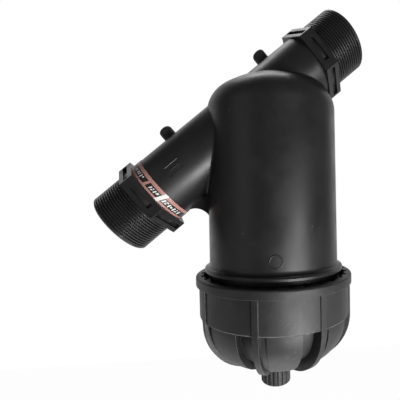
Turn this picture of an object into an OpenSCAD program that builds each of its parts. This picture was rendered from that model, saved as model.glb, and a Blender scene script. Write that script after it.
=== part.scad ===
// Two inch irrigation disc filter: an upright housing on an inclined through-pipe,
// with a screw-on bowl, a drain plug and a removable element of stacked discs.
// The origin is on the inlet's axis, at the shoulder where its thread starts; +Z is up and the
// outlet lies towards +X.

/* [Through-pipe] */
// Angle of the through-pipe above level, degrees
pipe_tilt = 39.5; // [34:0.5:45]
// Outside diameter of the port thread
thread_d = 59.6; // [58:0.1:62]
// Length of the port thread
thread_len = 30.5; // [24:0.5:34]
// Bevel at the thread's mouth
thread_bevel = 2.6; // [1:0.1:3]
// From the thread's outside to the waterway
thread_wall = 4.3; // [3.5:0.1:6]
// How far the plain pipe stands out above the thread
pipe_proud = 0.3; // [0.2:0.1:2]
// From the body's side to the inlet's end, along the pipe's axis
inlet_pipe_len = 103.93; // [98:0.01:140]
// From the body's side to the outlet's end, along the pipe's axis
outlet_pipe_len = 11.93; // [8:0.01:40]

/* [Hex bands] */
// How far the flats stand out above the pipe
hex_proud = 1.4; // [1.2:0.1:4]
// Length of the band along the pipe
hex_len = 12.8; // [10:0.1:16]
// Thickness of the band's flange on each side of its pockets
hex_flange_t = 4.1; // [3:0.1:5]
// From a pocket's end to the corner, in the side flats
flat_margin = 7.2; // [3:0.1:10]
// From a pocket's end to the corner, in the sloping flats
slope_margin = 2; // [1.5:0.1:10]
// Depth of a pocket
pocket_depth = 2.8; // [1:0.1:3.2]

/* [Test nipples] */
// From the body's axis to the inlet nipple, along the pipe
inlet_nipple_at = 94; // [88:1:110]
// From the body's axis to the outlet nipple, along the pipe
outlet_nipple_at = 17; // [12:1:24]
// Diameter of the moulded nipple
nipple_d = 8.4; // [6:0.1:9]
// Height of the nipple above its seat
nipple_h = 6.5; // [5:0.1:7]
// Diameter of the pressure hole
nipple_hole_d = 3; // [2:0.1:4]
// Height of the nipple's round seat above the pipe
nipple_seat_h = 0.8; // [0.6:0.1:1.5]
// How far the seat stands out round the test cap
nipple_seat_out = 0.4; // [0.2:0.1:1]
// Thickness of a test cap's side
test_cap_wall = 1.5; // [1.2:0.1:2.5]
// Thickness of a test cap's top
test_cap_top = 2.8; // [1.5:0.1:4]
// Rounding of a test cap's top edge
test_cap_round = 3.6; // [1:0.1:5]

/* [Body] */
// Body diameter under the dome
body_top_d = 117.4; // [112:0.2:122]
// How much wider the body is on each side above the collar
body_draft = 1.1; // [0.5:0.1:2]
// Wall of the body under the dome
body_wall = 4.2; // [3.5:0.1:6]
// From the pipe's axis down to the foot of the dome
dome_drop = 15.2; // [12:0.2:20]
// Radius of the dome's shoulder
dome_shoulder = 24; // [20:0.5:28]
// Rise of the dome's crown above its shoulder
dome_crown_h = 10.3; // [8:0.1:14]
// How far the discs reach down past the top of the collar
discs_below_collar = 44.8; // [38:0.2:50]
// How far the collar stands out above the bowl
collar_out = 4.4; // [4:0.1:6]
// Height of the collar
collar_h = 7.2; // [5:0.1:10]
// Radius of the hollow where the body runs out into the collar
collar_fillet = 3.4; // [2:0.1:3.6]
// Rounding of the collar's lip
collar_round = 1.6; // [0.5:0.1:2]
// Wall of the spigot that the bowl screws on
spigot_wall = 5.5; // [4:0.1:7]
// Length of the spigot below the collar
spigot_len = 30.6; // [26:0.2:36]

/* [Gusset] */
// Thickness of the web under the inlet pipe
gusset_t = 6; // [4:0.5:10]
// How far the web runs out from the body
gusset_out = 18; // [10:0.5:19]
// How far the web runs down the body
gusset_down = 22; // [14:0.5:30]
// Radius of the web's hollow edge
gusset_r = 15; // [14:0.5:24]

/* [Partition] */
// From the pipe's axis down to the underside of the partition
partition_drop = 30; // [28:0.5:36]
// Thickness of the partition
partition_t = 4; // [3:0.1:6]

/* [Bowl] */
// Gap that shows between the collar and the bowl's rim
rim_gap = 5.5; // [3:0.1:8]
// From the collar's edge to the recess inside the rim
recess_gap = 1.4; // [1:0.1:2]
// Depth of the recess inside the rim
recess_h = 8; // [5:0.1:10]
// From the recess to the rim's outside
rim_wall = 6.8; // [6:0.1:9]
// Height of the rim band
rim_h = 8; // [6:0.1:12]
// Rounding of the rim's upper edge
rim_round = 1.8; // [0.5:0.1:2.5]
// Number of pockets round the rim
rim_pockets = 30; // [20:1:34]
// Wall left outside the rim's pockets
rim_skin = 4.6; // [3:0.1:5]
// Width of a rim pocket
rim_pocket_w = 6; // [4:0.1:7]
// Depth of a rim pocket
rim_pocket_h = 26; // [14:0.5:28]
// Wall between the rim's pockets and the screw bore
sleeve_wall = 3; // [2:0.1:3.2]
// How far the rim stands out above the wall below it
rim_out = 2.7; // [1.7:0.1:4]
// From the rim's top down to the step
step_drop = 37; // [33:0.5:44]
// Rounding of the step's lip
lip_round = 1.4; // [0.5:0.1:1.5]
// Width of the shoulder that carries the gasket
gasket_seat = 3.5; // [2.5:0.1:5]
// Outside radius of the rounded bottom, between the pads
bottom_r = 37; // [35.5:0.5:39]
// Thickness of the bowl's bottom
bottom_wall = 5; // [3.5:0.1:5.5]
// How far the pads stand out from the bottom
pad_h = 6.6; // [4:0.1:7]
// How far the step stands out above the pads
pad_inset = 1.6; // [1.5:0.1:3]
// Angle that a pad covers, degrees
pad_angle = 24; // [16:1:28]
// Angle from a rib to its pad, degrees
pad_lead = 6.7; // [5:0.1:10]
// How far the ledge between a rib and its pad lies below the pad
ledge_drop = 1.4; // [0.8:0.1:3]
// Number of ribs round the bowl
rib_count = 8; // [4:1:8]
// Thickness of a rib
rib_t = 5; // [3:0.1:6]
// How far a rib stands out from the pads
rib_proud = 2.8; // [2.4:0.1:3]
// Turn of the ribs about the body's axis, degrees
rib_phase = 28; // [0:0.5:60]

/* [Drain] */
// Diameter of the drain hole
drain_hole_d = 16.8; // [14:0.1:20]
// Wall of the drain boss
boss_wall = 8.1; // [5:0.1:9]
// How far the boss drops below the bowl's bottom
boss_drop = 14; // [13:0.5:18]
// Thickness of the drain washer
washer_t = 2; // [1.5:0.1:3]
// Width of the drain washer's ring
washer_w = 4.6; // [3:0.1:6]
// How far the plug's head stands out past the washer
plug_out = 1; // [0.5:0.1:2]
// Height of the plug's head
plug_h = 16.5; // [10:0.5:18]
// Bevel of the plug's lower edge
plug_bevel = 1; // [0.5:0.1:2]
// Length of the plug's stem
stem_len = 15; // [10:0.5:18]
// Number of flutes round the plug
flutes = 20; // [12:1:24]
// Radius of a flute
flute_r = 1.1; // [0.8:0.1:1.4]

/* [Element] */
// Outside diameter of the discs
disc_d = 84; // [78:0.5:88]
// Width of a disc's ring
disc_w = 15; // [12:0.5:18]
// Length of the stack of discs
stack_len = 157; // [130:1:160]
// Spacing of the grooves between groups of discs
groove_pitch = 3.14; // [2:0.01:6]
// Depth of those grooves
groove_depth = 0.8; // [0.4:0.1:1.2]
// How far the base flange stands out past the discs
flange_out = 1; // [0.5:0.1:3]
// Thickness of the base flange
flange_t = 7; // [5:0.1:10]
// Height of the neck above the flange
neck_h = 9; // [5:0.1:12]
// Wall of the neck
neck_wall = 4.1; // [3:0.1:5]
// Wall of the spine
spine_wall = 6.5; // [4:0.1:8]
// Number of slots round the spine
spine_slots = 8; // [6:1:10]
// Width of a spine slot
spine_slot_w = 9; // [5:0.5:10]
// Rings that tie the spine's bars together
spine_rings = 3; // [1:1:4]
// Height of such a ring
spine_ring_h = 6; // [4:0.5:10]
// Section of the seal on the flange
element_seal_w = 4; // [3:0.1:5]
// Height of that seal
element_seal_h = 2; // [1.5:0.1:3]
// How far the element's cap stands out past the discs
cap_out = 1.5; // [0.5:0.1:3]
// Height of the element's cap
cap_h = 20; // [16:0.5:24]
// Thickness of the cap's end wall
cap_wall = 5; // [3:0.1:6]
// Number of grips round the cap
cap_grips = 16; // [10:1:20]
// Width of a grip
cap_grip_w = 9; // [6:0.5:10]
// Depth of a grip
cap_grip_depth = 5; // [3:0.1:7]

/* [Label] */
// Width of the label round the inlet pipe
label_w = 10; // [6:0.1:14]
// Thickness of the label
label_t = 0.3; // [0.2:0.05:0.5]

/* [Clearances] */
// Between the bowl's screw bore and the spigot
screw_clear = 0.4; // [0.3:0.05:0.6]
// Between the gasket's edges and the walls beside it
gasket_clear = 0.35; // [0.3:0.05:0.6]
// Thickness of the bowl's gasket
gasket_t = 3; // [2:0.1:4]
// Between the drain plug's stem and its hole
stem_clear = 0.4; // [0.3:0.05:0.6]
// Between the element's neck and its seat
neck_clear = 0.4; // [0.3:0.05:0.6]
// Between the discs and the spine
disc_clear = 0.5; // [0.3:0.05:0.8]
// Between the cap's socket and the spine's end
socket_clear = 0.4; // [0.3:0.05:0.6]
// Between a test cap and its nipple
cap_clear = 0.3; // [0.3:0.05:0.5]
// Between the label and the pipe, and the label and the hex band
label_clear = 0.05; // [0.02:0.01:0.1]
// Between the element's seal and the sides of its groove
seal_clear = 0.2; // [0.1:0.05:0.4]

/* [Hidden] */
$fn = 96;

// Overlap that makes a cut pass cleanly through a face
over = 1;

// Straight steps in the dome's shoulder and in its crown
shoulder_steps = 12;
crown_steps = 5;

// Heights along the body's axis, from where it crosses the pipe's axis
dome_foot_z = -dome_drop;
partition_foot_z = -partition_drop;
flange_foot_z = partition_foot_z - flange_t;
stack_foot_z = flange_foot_z - stack_len;
cap_foot_z = stack_foot_z - cap_h;
collar_top_z = stack_foot_z + discs_below_collar;
body_len = dome_foot_z - collar_top_z;
collar_foot_z = collar_top_z - collar_h;
spigot_end_z = collar_foot_z - spigot_len;
rim_top_z = collar_foot_z - rim_gap;
recess_floor_z = rim_top_z - recess_h;
step_z = rim_top_z - step_drop;
shoulder_z = spigot_end_z - gasket_t;
bottom_z = step_z - bottom_r;
boss_foot_z = bottom_z - boss_drop;
washer_foot_z = boss_foot_z - washer_t;

// Radii and diameters worked out from the driving sizes
pipe_od = thread_d + 2 * pipe_proud;
pipe_bore = thread_d - 2 * thread_wall;
hex_across = pipe_od + 2 * hex_proud;
hex_side = hex_across * tan(30);
test_cap_d = nipple_d + 2 * cap_clear + 2 * test_cap_wall;
test_cap_h = nipple_h + cap_clear + test_cap_top;
nipple_seat_d = test_cap_d + 2 * nipple_seat_out;
body_bottom_d = body_top_d + 2 * body_draft;
chamber_r = body_top_d / 2 - body_wall;
dome_h = dome_shoulder + dome_crown_h;
dome_crown_r = ((body_top_d / 2 - dome_shoulder) ^ 2 + dome_h ^ 2 - dome_shoulder ^ 2) / (2 * dome_crown_h);
collar_r = body_bottom_d / 2 + collar_out;
spigot_r = chamber_r + spigot_wall;
screw_bore_r = spigot_r + screw_clear;
recess_r = collar_r + recess_gap;
rim_r = recess_r + rim_wall;
panel_r = rim_r - rim_out;
bowl_bore_r = spigot_r - gasket_seat;
pad_r = bottom_r + pad_h;
rib_r = pad_r + rib_proud;
floor_r = bottom_r - bottom_wall;
bowl_flat_r = panel_r - pad_inset - pad_r;
stem_d = drain_hole_d - 2 * stem_clear;
boss_d = drain_hole_d + 2 * boss_wall;
washer_d = drain_hole_d + 2 * washer_w;
plug_d = washer_d + 2 * plug_out;
disc_bore = disc_d - 2 * disc_w;
spine_d = disc_bore - 2 * disc_clear;
spine_bore = spine_d - 2 * spine_wall;
neck_d = spine_bore + 2 * neck_wall;
seat_d = neck_d + 2 * neck_clear;
flange_d = disc_d + 2 * flange_out;
cap_d = disc_d + 2 * cap_out;
cap_socket_d = spine_d + 2 * socket_clear;
cap_skirt_h = cap_h - cap_wall;
seal_mid_r = (seat_d + flange_d) / 4;

// Where the ports end along the pipe, and where the pipe's axis crosses the body's
side_reach = body_top_d / 2 / cos(pipe_tilt);
inlet_reach = side_reach + inlet_pipe_len;
outlet_reach = side_reach + outlet_pipe_len;
crossing = (inlet_reach - thread_len) * [cos(pipe_tilt), 0, sin(pipe_tilt)];

// Moves the children from the crossing of the two axes to the part's own frame
module at_crossing() {
    translate(crossing) children();
}

// Lays the children, drawn along +Z, along the through-pipe
module along_pipe() {
    at_crossing() rotate([0, 90 - pipe_tilt, 0]) children();
}

// Stands the children, drawn along +Z, on top of the pipe at a distance along it
module on_pipe(at) {
    along_pipe() translate([0, 0, at]) rotate([0, -90, 0]) translate([0, 0, pipe_od / 2]) children();
}

// A ring about the Z axis
module ring(outer_r, inner_r, h) {
    difference() {
        cylinder(r = outer_r, h = h);
        translate([0, 0, -over]) cylinder(r = inner_r, h = h + 2 * over);
    }
}

// Copies the children round the Z axis
module around(count, start = 0) {
    for (i = [0 : count - 1]) rotate([0, 0, start + i * 360 / count]) children();
}

// Points of an arc about a centre
function arc(centre, r, from, to, steps) =
    [for (i = [0 : steps]) let (t = from + (to - from) * i / steps) centre + r * [cos(t), sin(t)]];

// Outline of a dome with a round shoulder and a shallow crown, from its foot to its top, thinned by inset
function dome_outline(inset) =
    let (shoulder_x = body_top_d / 2 - dome_shoulder,
         crown_z = dome_h - dome_crown_r,
         turn = atan2(-crown_z, shoulder_x),
         crown = arc([0, crown_z], dome_crown_r - inset, turn, 90, crown_steps))
    concat(arc([shoulder_x, 0], dome_shoulder - inset, 0, turn, shoulder_steps),
           [for (i = [1 : crown_steps - 1]) crown[i]],
           [[0, dome_h - inset]]);

// Half section of the collar, with a hollow above it and a round lip
module collar_half() {
    body_r = body_bottom_d / 2;
    difference() {
        translate([0, collar_foot_z]) square([collar_r, collar_h]);
        translate([collar_r - collar_round, collar_top_z - collar_round]) square(collar_round + over);
    }
    translate([collar_r - collar_round, collar_top_z - collar_round]) circle(r = collar_round);
    difference() {
        translate([body_r - over, collar_top_z - over]) square(collar_fillet + over);
        translate([body_r + collar_fillet, collar_top_z + collar_fillet]) circle(r = collar_fillet);
    }
}

// Outside of the upright body with its spigot
module body_shell() {
    rotate_extrude() {
        translate([0, dome_foot_z])
            polygon(concat([[0, -body_len - over], [body_bottom_d / 2, -body_len - over],
                            [body_bottom_d / 2, -body_len]], dome_outline(0)));
        collar_half();
        translate([0, spigot_end_z]) square([spigot_r, spigot_len + over]);
    }
}

// Hollow of the upright body, open at the spigot's end
module body_hollow() {
    drop = dome_foot_z - spigot_end_z + over;
    rotate_extrude() translate([0, dome_foot_z])
        polygon(concat([[0, -drop], [chamber_r, -drop]], dome_outline(body_wall)));
}

// One threaded end of the pipe, drawn outwards from the body along +Z
module port_outside(reach) {
    hex_foot = reach - thread_len - hex_len;
    translate([0, 0, hex_foot]) difference() {
        cylinder(d = hex_across / cos(30), h = hex_len, $fn = 6);
        for (k = [0 : 5]) rotate([0, 0, 30 + 60 * k]) {
            len = hex_side - 2 * (k % 3 == 1 ? flat_margin : slope_margin);
            translate([hex_across / 2 - pocket_depth, -len / 2, hex_flange_t])
                cube([pocket_depth + over, len, hex_len - 2 * hex_flange_t]);
        }
    }
    cylinder(d = pipe_od, h = hex_foot + over);
    cylinder(d = thread_d, h = reach - thread_bevel);
    translate([0, 0, reach - thread_bevel])
        cylinder(d1 = thread_d, d2 = thread_d - 2 * thread_bevel, h = thread_bevel);
}

// Moulded nipple on its seat, standing on the pipe
module nipple() {
    sink = pipe_od / 2 - pipe_bore / 2;
    translate([0, 0, -sink]) cylinder(d = nipple_seat_d, h = sink + nipple_seat_h);
    cylinder(d = nipple_d, h = nipple_seat_h + nipple_h);
}

// Web between the inlet pipe and the body, with a hollow edge
module gusset() {
    wall_x = -body_top_d / 2;
    under = pipe_od / 2 / cos(pipe_tilt);
    function pipe_foot(x) = x * tan(pipe_tilt) - under;
    tip = [wall_x - gusset_out, pipe_foot(wall_x - gusset_out)];
    toe = [wall_x, pipe_foot(wall_x) - gusset_down];
    chord = norm(tip - toe);
    side = [tip[1] - toe[1], toe[0] - tip[0]] / chord;
    centre = (tip + toe) / 2 + side * -sqrt(gusset_r ^ 2 - (chord / 2) ^ 2);
    inner = wall_x + body_wall / 2;
    rotate([90, 0, 0]) linear_extrude(gusset_t, center = true) difference() {
        polygon([tip, toe, [inner, toe[1]], [inner, pipe_foot(inner) + over],
                 [tip[0], tip[1] + over]]);
        translate(centre) circle(r = gusset_r);
    }
}

// Floor between the raw and the clean water, and the wall that shuts it off from the inlet
module partition() {
    wall_r = (body_top_d / 2 + chamber_r) / 2;
    mouth_top_z = pipe_bore / 2 / cos(pipe_tilt) - chamber_r * tan(pipe_tilt);
    wall_top_z = max(mouth_top_z, partition_foot_z) + partition_t;
    translate([0, 0, partition_foot_z]) ring(wall_r, seat_d / 2, partition_t);
    translate([0, 0, partition_foot_z]) ring(wall_r, chamber_r, wall_top_z - partition_foot_z);
}

module housing() {
    color([0.09, 0.09, 0.095]) {
        difference() {
            union() {
                at_crossing() body_shell();
                at_crossing() gusset();
                along_pipe() port_outside(outlet_reach);
                along_pipe() rotate([180, 0, 0]) port_outside(inlet_reach);
                on_pipe(-inlet_nipple_at) nipple();
                on_pipe(outlet_nipple_at) nipple();
            }
            at_crossing() body_hollow();
            along_pipe() translate([0, 0, -inlet_reach - over])
                cylinder(d = pipe_bore, h = inlet_reach + outlet_reach + 2 * over);
            for (at = [-inlet_nipple_at, outlet_nipple_at]) on_pipe(at) translate([0, 0, -pipe_od / 4])
                cylinder(d = nipple_hole_d, h = pipe_od / 4 + nipple_seat_h + nipple_h + over);
        }
        at_crossing() partition();
    }
}

module inlet_label() {
    hex_edge = inlet_reach - thread_len - hex_len;
    color([0.12, 0.10, 0.10]) along_pipe() translate([0, 0, label_clear - hex_edge])
        ring(pipe_od / 2 + label_clear + label_t, pipe_od / 2 + label_clear, label_w);
}

// Push-on cap with a round top, standing on the nipple's seat
module test_cap() {
    r = test_cap_d / 2;
    difference() {
        rotate_extrude() {
            square([r, test_cap_h - test_cap_round]);
            square([r - test_cap_round, test_cap_h]);
            translate([r - test_cap_round, test_cap_h - test_cap_round]) intersection() {
                circle(r = test_cap_round);
                square(test_cap_round);
            }
        }
        translate([0, 0, -over]) cylinder(d = nipple_d + 2 * cap_clear, h = nipple_h + cap_clear + over);
    }
}

module inlet_test_cap() {
    color([0.05, 0.05, 0.05]) on_pipe(-inlet_nipple_at) translate([0, 0, nipple_seat_h]) test_cap();
}

module outlet_test_cap() {
    color([0.05, 0.05, 0.05]) on_pipe(outlet_nipple_at) translate([0, 0, nipple_seat_h]) test_cap();
}

// Slotted core of the element, with the flange and neck that plug into the partition
module element_spine() {
    end_z = stack_foot_z - cap_skirt_h + socket_clear;
    window_top = flange_foot_z - spine_ring_h;
    bay = (stack_len - (spine_rings + 2) * spine_ring_h) / (spine_rings + 1);
    color([0.10, 0.10, 0.10]) at_crossing() difference() {
        union() {
            translate([0, 0, flange_foot_z]) cylinder(d = flange_d, h = flange_t);
            translate([0, 0, partition_foot_z - over]) cylinder(d = neck_d, h = neck_h + over);
            translate([0, 0, end_z]) cylinder(d = spine_d, h = flange_foot_z - end_z + over);
        }
        translate([0, 0, end_z - over]) cylinder(d = spine_bore, h = partition_foot_z + neck_h - end_z + 2 * over);
        translate([0, 0, partition_foot_z - element_seal_h])
            ring(seal_mid_r + element_seal_w / 2 + seal_clear, seal_mid_r - element_seal_w / 2 - seal_clear,
                 element_seal_h + over / 2);
        for (row = [0 : spine_rings]) around(spine_slots)
            translate([0, -spine_slot_w / 2, window_top - bay - row * (bay + spine_ring_h)])
                cube([spine_d, spine_slot_w, bay]);
    }
}

module element_seal() {
    color([0.03, 0.03, 0.03]) at_crossing() translate([0, 0, partition_foot_z - element_seal_h])
        ring(seal_mid_r + element_seal_w / 2, seal_mid_r - element_seal_w / 2, element_seal_h);
}

// Discs pressed together, with a groove between one group and the next
module disc_stack() {
    grooves = floor(stack_len / groove_pitch) - 1;
    margin = (stack_len - grooves * groove_pitch) / 2;
    outline = [for (i = [0 : grooves]) each [
        [disc_d / 2, margin + (i - 0.2) * groove_pitch],
        [disc_d / 2 - groove_depth, margin + i * groove_pitch],
        [disc_d / 2, margin + (i + 0.2) * groove_pitch]]];
    color([0.78, 0.05, 0.08]) at_crossing() translate([0, 0, stack_foot_z]) rotate_extrude()
        polygon(concat([[disc_bore / 2, 0], [disc_d / 2, 0]], outline,
                       [[disc_d / 2, stack_len], [disc_bore / 2, stack_len]]));
}

// Screw cap that closes the element and presses on the discs
module element_cap() {
    color([0.04, 0.04, 0.045]) at_crossing() translate([0, 0, cap_foot_z]) difference() {
        cylinder(d = cap_d, h = cap_h);
        translate([0, 0, cap_wall]) cylinder(d = cap_socket_d, h = cap_skirt_h + over);
        around(cap_grips) translate([cap_d / 2 - cap_grip_depth, -cap_grip_w / 2, -over])
            cube([cap_grip_depth + over, cap_grip_w, cap_h - cap_wall + over]);
    }
}

module bowl_gasket() {
    color([0.03, 0.03, 0.03]) at_crossing() translate([0, 0, shoulder_z])
        ring(screw_bore_r - gasket_clear, bowl_bore_r + gasket_clear, gasket_t);
}

// Half section of the bowl's rounded bottom, filled up to a height
module bottom_half(radius, top_z) {
    intersection() {
        union() {
            translate([bowl_flat_r, step_z]) circle(r = radius);
            translate([0, step_z - radius]) square([bowl_flat_r, radius]);
            translate([0, step_z]) square([bowl_flat_r + radius, top_z - step_z]);
        }
        translate([0, step_z - radius]) square([bowl_flat_r + radius, top_z - step_z + radius]);
    }
}

// Outside of the bowl: rim, upper wall, rounded bottom, pads and ribs
module bowl_shell() {
    band_foot_z = rim_top_z - rim_h;
    rotate_extrude() {
        translate([0, band_foot_z]) square([rim_r, rim_h - rim_round]);
        translate([0, band_foot_z]) square([rim_r - rim_round, rim_h]);
        translate([rim_r - rim_round, rim_top_z - rim_round]) circle(r = rim_round);
        translate([0, step_z]) square([panel_r - lip_round, band_foot_z - step_z + over]);
        translate([0, step_z + lip_round]) square([panel_r, band_foot_z - step_z - lip_round + over]);
        translate([panel_r - lip_round, step_z + lip_round]) circle(r = lip_round);
        bottom_half(bottom_r, step_z + over);
    }
    around(rib_count, rib_phase + pad_lead) rotate_extrude(angle = pad_angle) difference() {
        bottom_half(pad_r, step_z + over);
        translate([0, boss_foot_z]) square([bowl_flat_r, step_z + 2 * over - boss_foot_z]);
    }
    around(rib_count, rib_phase) rotate_extrude(angle = pad_lead + over) difference() {
        bottom_half(pad_r - ledge_drop, step_z + over);
        translate([0, boss_foot_z]) square([bowl_flat_r, step_z + 2 * over - boss_foot_z]);
    }
    around(rib_count, rib_phase) rotate([90, 0, 0]) linear_extrude(rib_t, center = true)
        bottom_half(rib_r, band_foot_z + over);
    translate([0, 0, boss_foot_z]) cylinder(d = boss_d, h = boss_drop + bottom_wall / 2);
}

// Inside of the bowl: recess, screw bore, sump and drain hole
module bowl_hollow() {
    rotate_extrude() {
        translate([0, recess_floor_z]) square([recess_r, recess_h + over]);
        translate([0, shoulder_z]) square([screw_bore_r, recess_floor_z - shoulder_z + over]);
        translate([0, step_z]) square([bowl_bore_r, shoulder_z - step_z + over]);
        intersection() {
            bottom_half(floor_r, step_z + over);
            translate([0, step_z - floor_r]) square([bowl_bore_r, floor_r + over]);
        }
    }
    translate([0, 0, boss_foot_z - over]) cylinder(d = drain_hole_d, h = step_z - boss_foot_z);
    pocket_in = screw_bore_r + sleeve_wall;
    around(rim_pockets) translate([pocket_in, -rim_pocket_w / 2, rim_top_z - rim_pocket_h])
        cube([rim_r - rim_skin - pocket_in, rim_pocket_w, rim_pocket_h + over]);
}

module bowl() {
    color([0.13, 0.13, 0.135]) at_crossing() difference() {
        bowl_shell();
        bowl_hollow();
    }
}

module drain_washer() {
    color([0.03, 0.03, 0.03]) at_crossing() translate([0, 0, washer_foot_z])
        ring(washer_d / 2, drain_hole_d / 2, washer_t);
}

// Fluted plug whose stem closes the drain hole
module drain_plug() {
    color([0.10, 0.10, 0.10]) at_crossing() translate([0, 0, washer_foot_z]) {
        translate([0, 0, -plug_h]) difference() {
            union() {
                cylinder(d1 = plug_d - 2 * plug_bevel, d2 = plug_d, h = plug_bevel);
                translate([0, 0, plug_bevel]) cylinder(d = plug_d, h = plug_h - plug_bevel);
            }
            around(flutes) translate([plug_d / 2, 0, -over]) cylinder(r = flute_r, h = plug_h + 2 * over, $fn = 24);
        }
        translate([0, 0, -over]) cylinder(d = stem_d, h = stem_len + over);
    }
}

housing();
inlet_label();
inlet_test_cap();
outlet_test_cap();
element_spine();
element_seal();
disc_stack();
element_cap();
bowl_gasket();
bowl();
drain_washer();
drain_plug();
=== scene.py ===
"""Look of a two inch irrigation disc filter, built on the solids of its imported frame.

The housing gets real screw threads on its ports and small fillets at its pipe junctions, the inlet
pipe a printed label and moulded lines, and every piece a procedural finish. All sizes are in metres and
in the part's own frame.
"""

import logging
import math
from dataclasses import dataclass
from enum import Enum
from typing import Callable

import bmesh
import bpy
from mathutils import Matrix, Vector


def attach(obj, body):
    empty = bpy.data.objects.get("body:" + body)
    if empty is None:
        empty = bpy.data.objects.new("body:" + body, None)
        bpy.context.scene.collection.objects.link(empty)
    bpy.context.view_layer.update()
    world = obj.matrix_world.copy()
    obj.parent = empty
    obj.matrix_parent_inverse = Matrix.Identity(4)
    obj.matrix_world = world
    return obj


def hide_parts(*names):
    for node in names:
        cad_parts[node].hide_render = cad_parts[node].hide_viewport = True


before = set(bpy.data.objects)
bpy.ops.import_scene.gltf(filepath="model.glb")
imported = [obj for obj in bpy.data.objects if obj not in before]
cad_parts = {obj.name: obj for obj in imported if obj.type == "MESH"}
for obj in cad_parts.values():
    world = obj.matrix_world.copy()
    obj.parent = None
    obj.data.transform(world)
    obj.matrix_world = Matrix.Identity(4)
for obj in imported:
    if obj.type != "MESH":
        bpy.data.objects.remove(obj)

LOG = logging.getLogger("scene")
MM = 0.001

FLOAT = "NodeSocketFloat"
VECTOR = "NodeSocketVector"
COLOR = "NodeSocketColor"

Point = Vector
Face = tuple[int, ...]


class Slot(Enum):
    """Material slots of the record."""

    HOUSING = "housing_plastic"
    BOWL = "bowl_plastic"
    LABEL = "label_film"
    RUBBER = "rubber"
    SPINE = "spine_plastic"
    DISCS = "disc_plastic"
    CAP = "cap_plastic"


@dataclass(frozen=True)
class Layout:
    """Shared sizes of the part.

    Attributes:
        tilt: Angle of the through-pipe above level.
        crossing: Where the pipe's axis crosses the body's axis.
        pipe_r: Outside radius of the plain pipe.
        body_r: Radius of the body under the dome.
        draft: How much wider the body is above its collar.
        dome_foot: Height of the dome's foot, from the crossing.
        body_len: Height of the body from its collar to the dome's foot.
        shoulder: Radius of the dome's shoulder.
        dome_h: Height of the dome above its foot.
        crown_r: Radius of the dome's crown.
    """

    tilt: float = math.radians(39.5)
    crossing: tuple[float, float, float] = (0.11536, 0.0, 0.0950958)
    pipe_r: float = 30.1 * MM
    body_r: float = 58.7 * MM
    draft: float = 1.1 * MM
    dome_foot: float = -15.2 * MM
    body_len: float = 134 * MM
    shoulder: float = 24 * MM
    dome_h: float = 34.3 * MM
    crown_r: float = 87.6 * MM

    @property
    def along(self) -> Vector:
        """Direction of the through-pipe, towards the outlet."""
        return Vector((math.cos(self.tilt), 0.0, math.sin(self.tilt)))

    @property
    def centre(self) -> Vector:
        """The crossing as a vector."""
        return Vector(self.crossing)

    def pipe_point(self, along: float, angle: float, radius: float) -> Vector:
        """Give a point round the through-pipe.

        Args:
            along: Distance from the crossing towards the outlet.
            angle: Angle round the pipe, zero on its upper side and growing towards the front.
            radius: Distance from the pipe's axis.

        Returns:
            The point in the part's frame.
        """
        return self.centre + self.along * along + self.pipe_normal(angle) * radius

    def pipe_normal(self, angle: float) -> Vector:
        """Give the outward direction round the through-pipe.

        Args:
            angle: Angle round the pipe, as in pipe_point.

        Returns:
            The direction.
        """
        up = Vector((-math.sin(self.tilt), 0.0, math.cos(self.tilt)))
        front = Vector((0.0, -1.0, 0.0))
        return up * math.cos(angle) + front * math.sin(angle)

    def body_radius(self, height: float) -> float:
        """Give the body's radius at a height measured from the crossing."""
        return self.body_r + self.draft * (self.dome_foot - height) / self.body_len

    def body_gap(self, point: Vector) -> tuple[float, Vector]:
        """Measure how far a point lies outside the body and its dome.

        Args:
            point: A point in the part's frame.

        Returns:
            The signed distance and the outward direction there.
        """
        at = point - self.centre
        rho = math.hypot(at.x, at.y)
        out = Vector((at.x / rho, at.y / rho, 0.0))
        rise = at.z - self.dome_foot
        if rise <= 0:
            return rho - self.body_radius(at.z), out
        ring = self.body_r - self.shoulder
        crown_foot = self.dome_h - self.crown_r
        steep = math.atan2(-crown_foot, ring)
        if math.atan2(rise, rho - ring) <= steep:
            side = out * (rho - ring) + Vector((0.0, 0.0, rise))
            return side.length - self.shoulder, side.normalized()
        side = out * rho + Vector((0.0, 0.0, rise - crown_foot))
        return side.length - self.crown_r, side.normalized()


LAYOUT = Layout()


@dataclass(frozen=True)
class Finish:
    """Numbers of one moulded or rubber finish.

    Attributes:
        slot: Slot of the record that the finish belongs to.
        color: Main colour.
        worn: Colour on rubbed edges and scuffs, and of the painted highlight line at the bowl's step.
        roughness: Mean roughness.
        specular: Specular level.
        grain: Size of the moulded grain.
        relief: Height of the grain.
        edge: Width over which edges look rounded.
        wear: Strength of the rubbed edges.
        scuffs: Strength of fine scuffs.
        mottle: Strength of cloudy changes in tone.
        coat: Weight of a clear gloss.
        nicks: Strength of the small dents on the body.
        lip_highlight: Strength of the painted highlight line at the bowl's step.
    """

    slot: Slot
    color: tuple[float, float, float]
    worn: tuple[float, float, float]
    roughness: float
    specular: float = 0.5
    grain: float = 0.5 * MM
    relief: float = 0.02 * MM
    edge: float = 0.5 * MM
    wear: float = 0.0
    scuffs: float = 0.0
    mottle: float = 0.1
    coat: float = 0.0
    nicks: float = 0.0
    lip_highlight: float = 0.0


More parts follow.
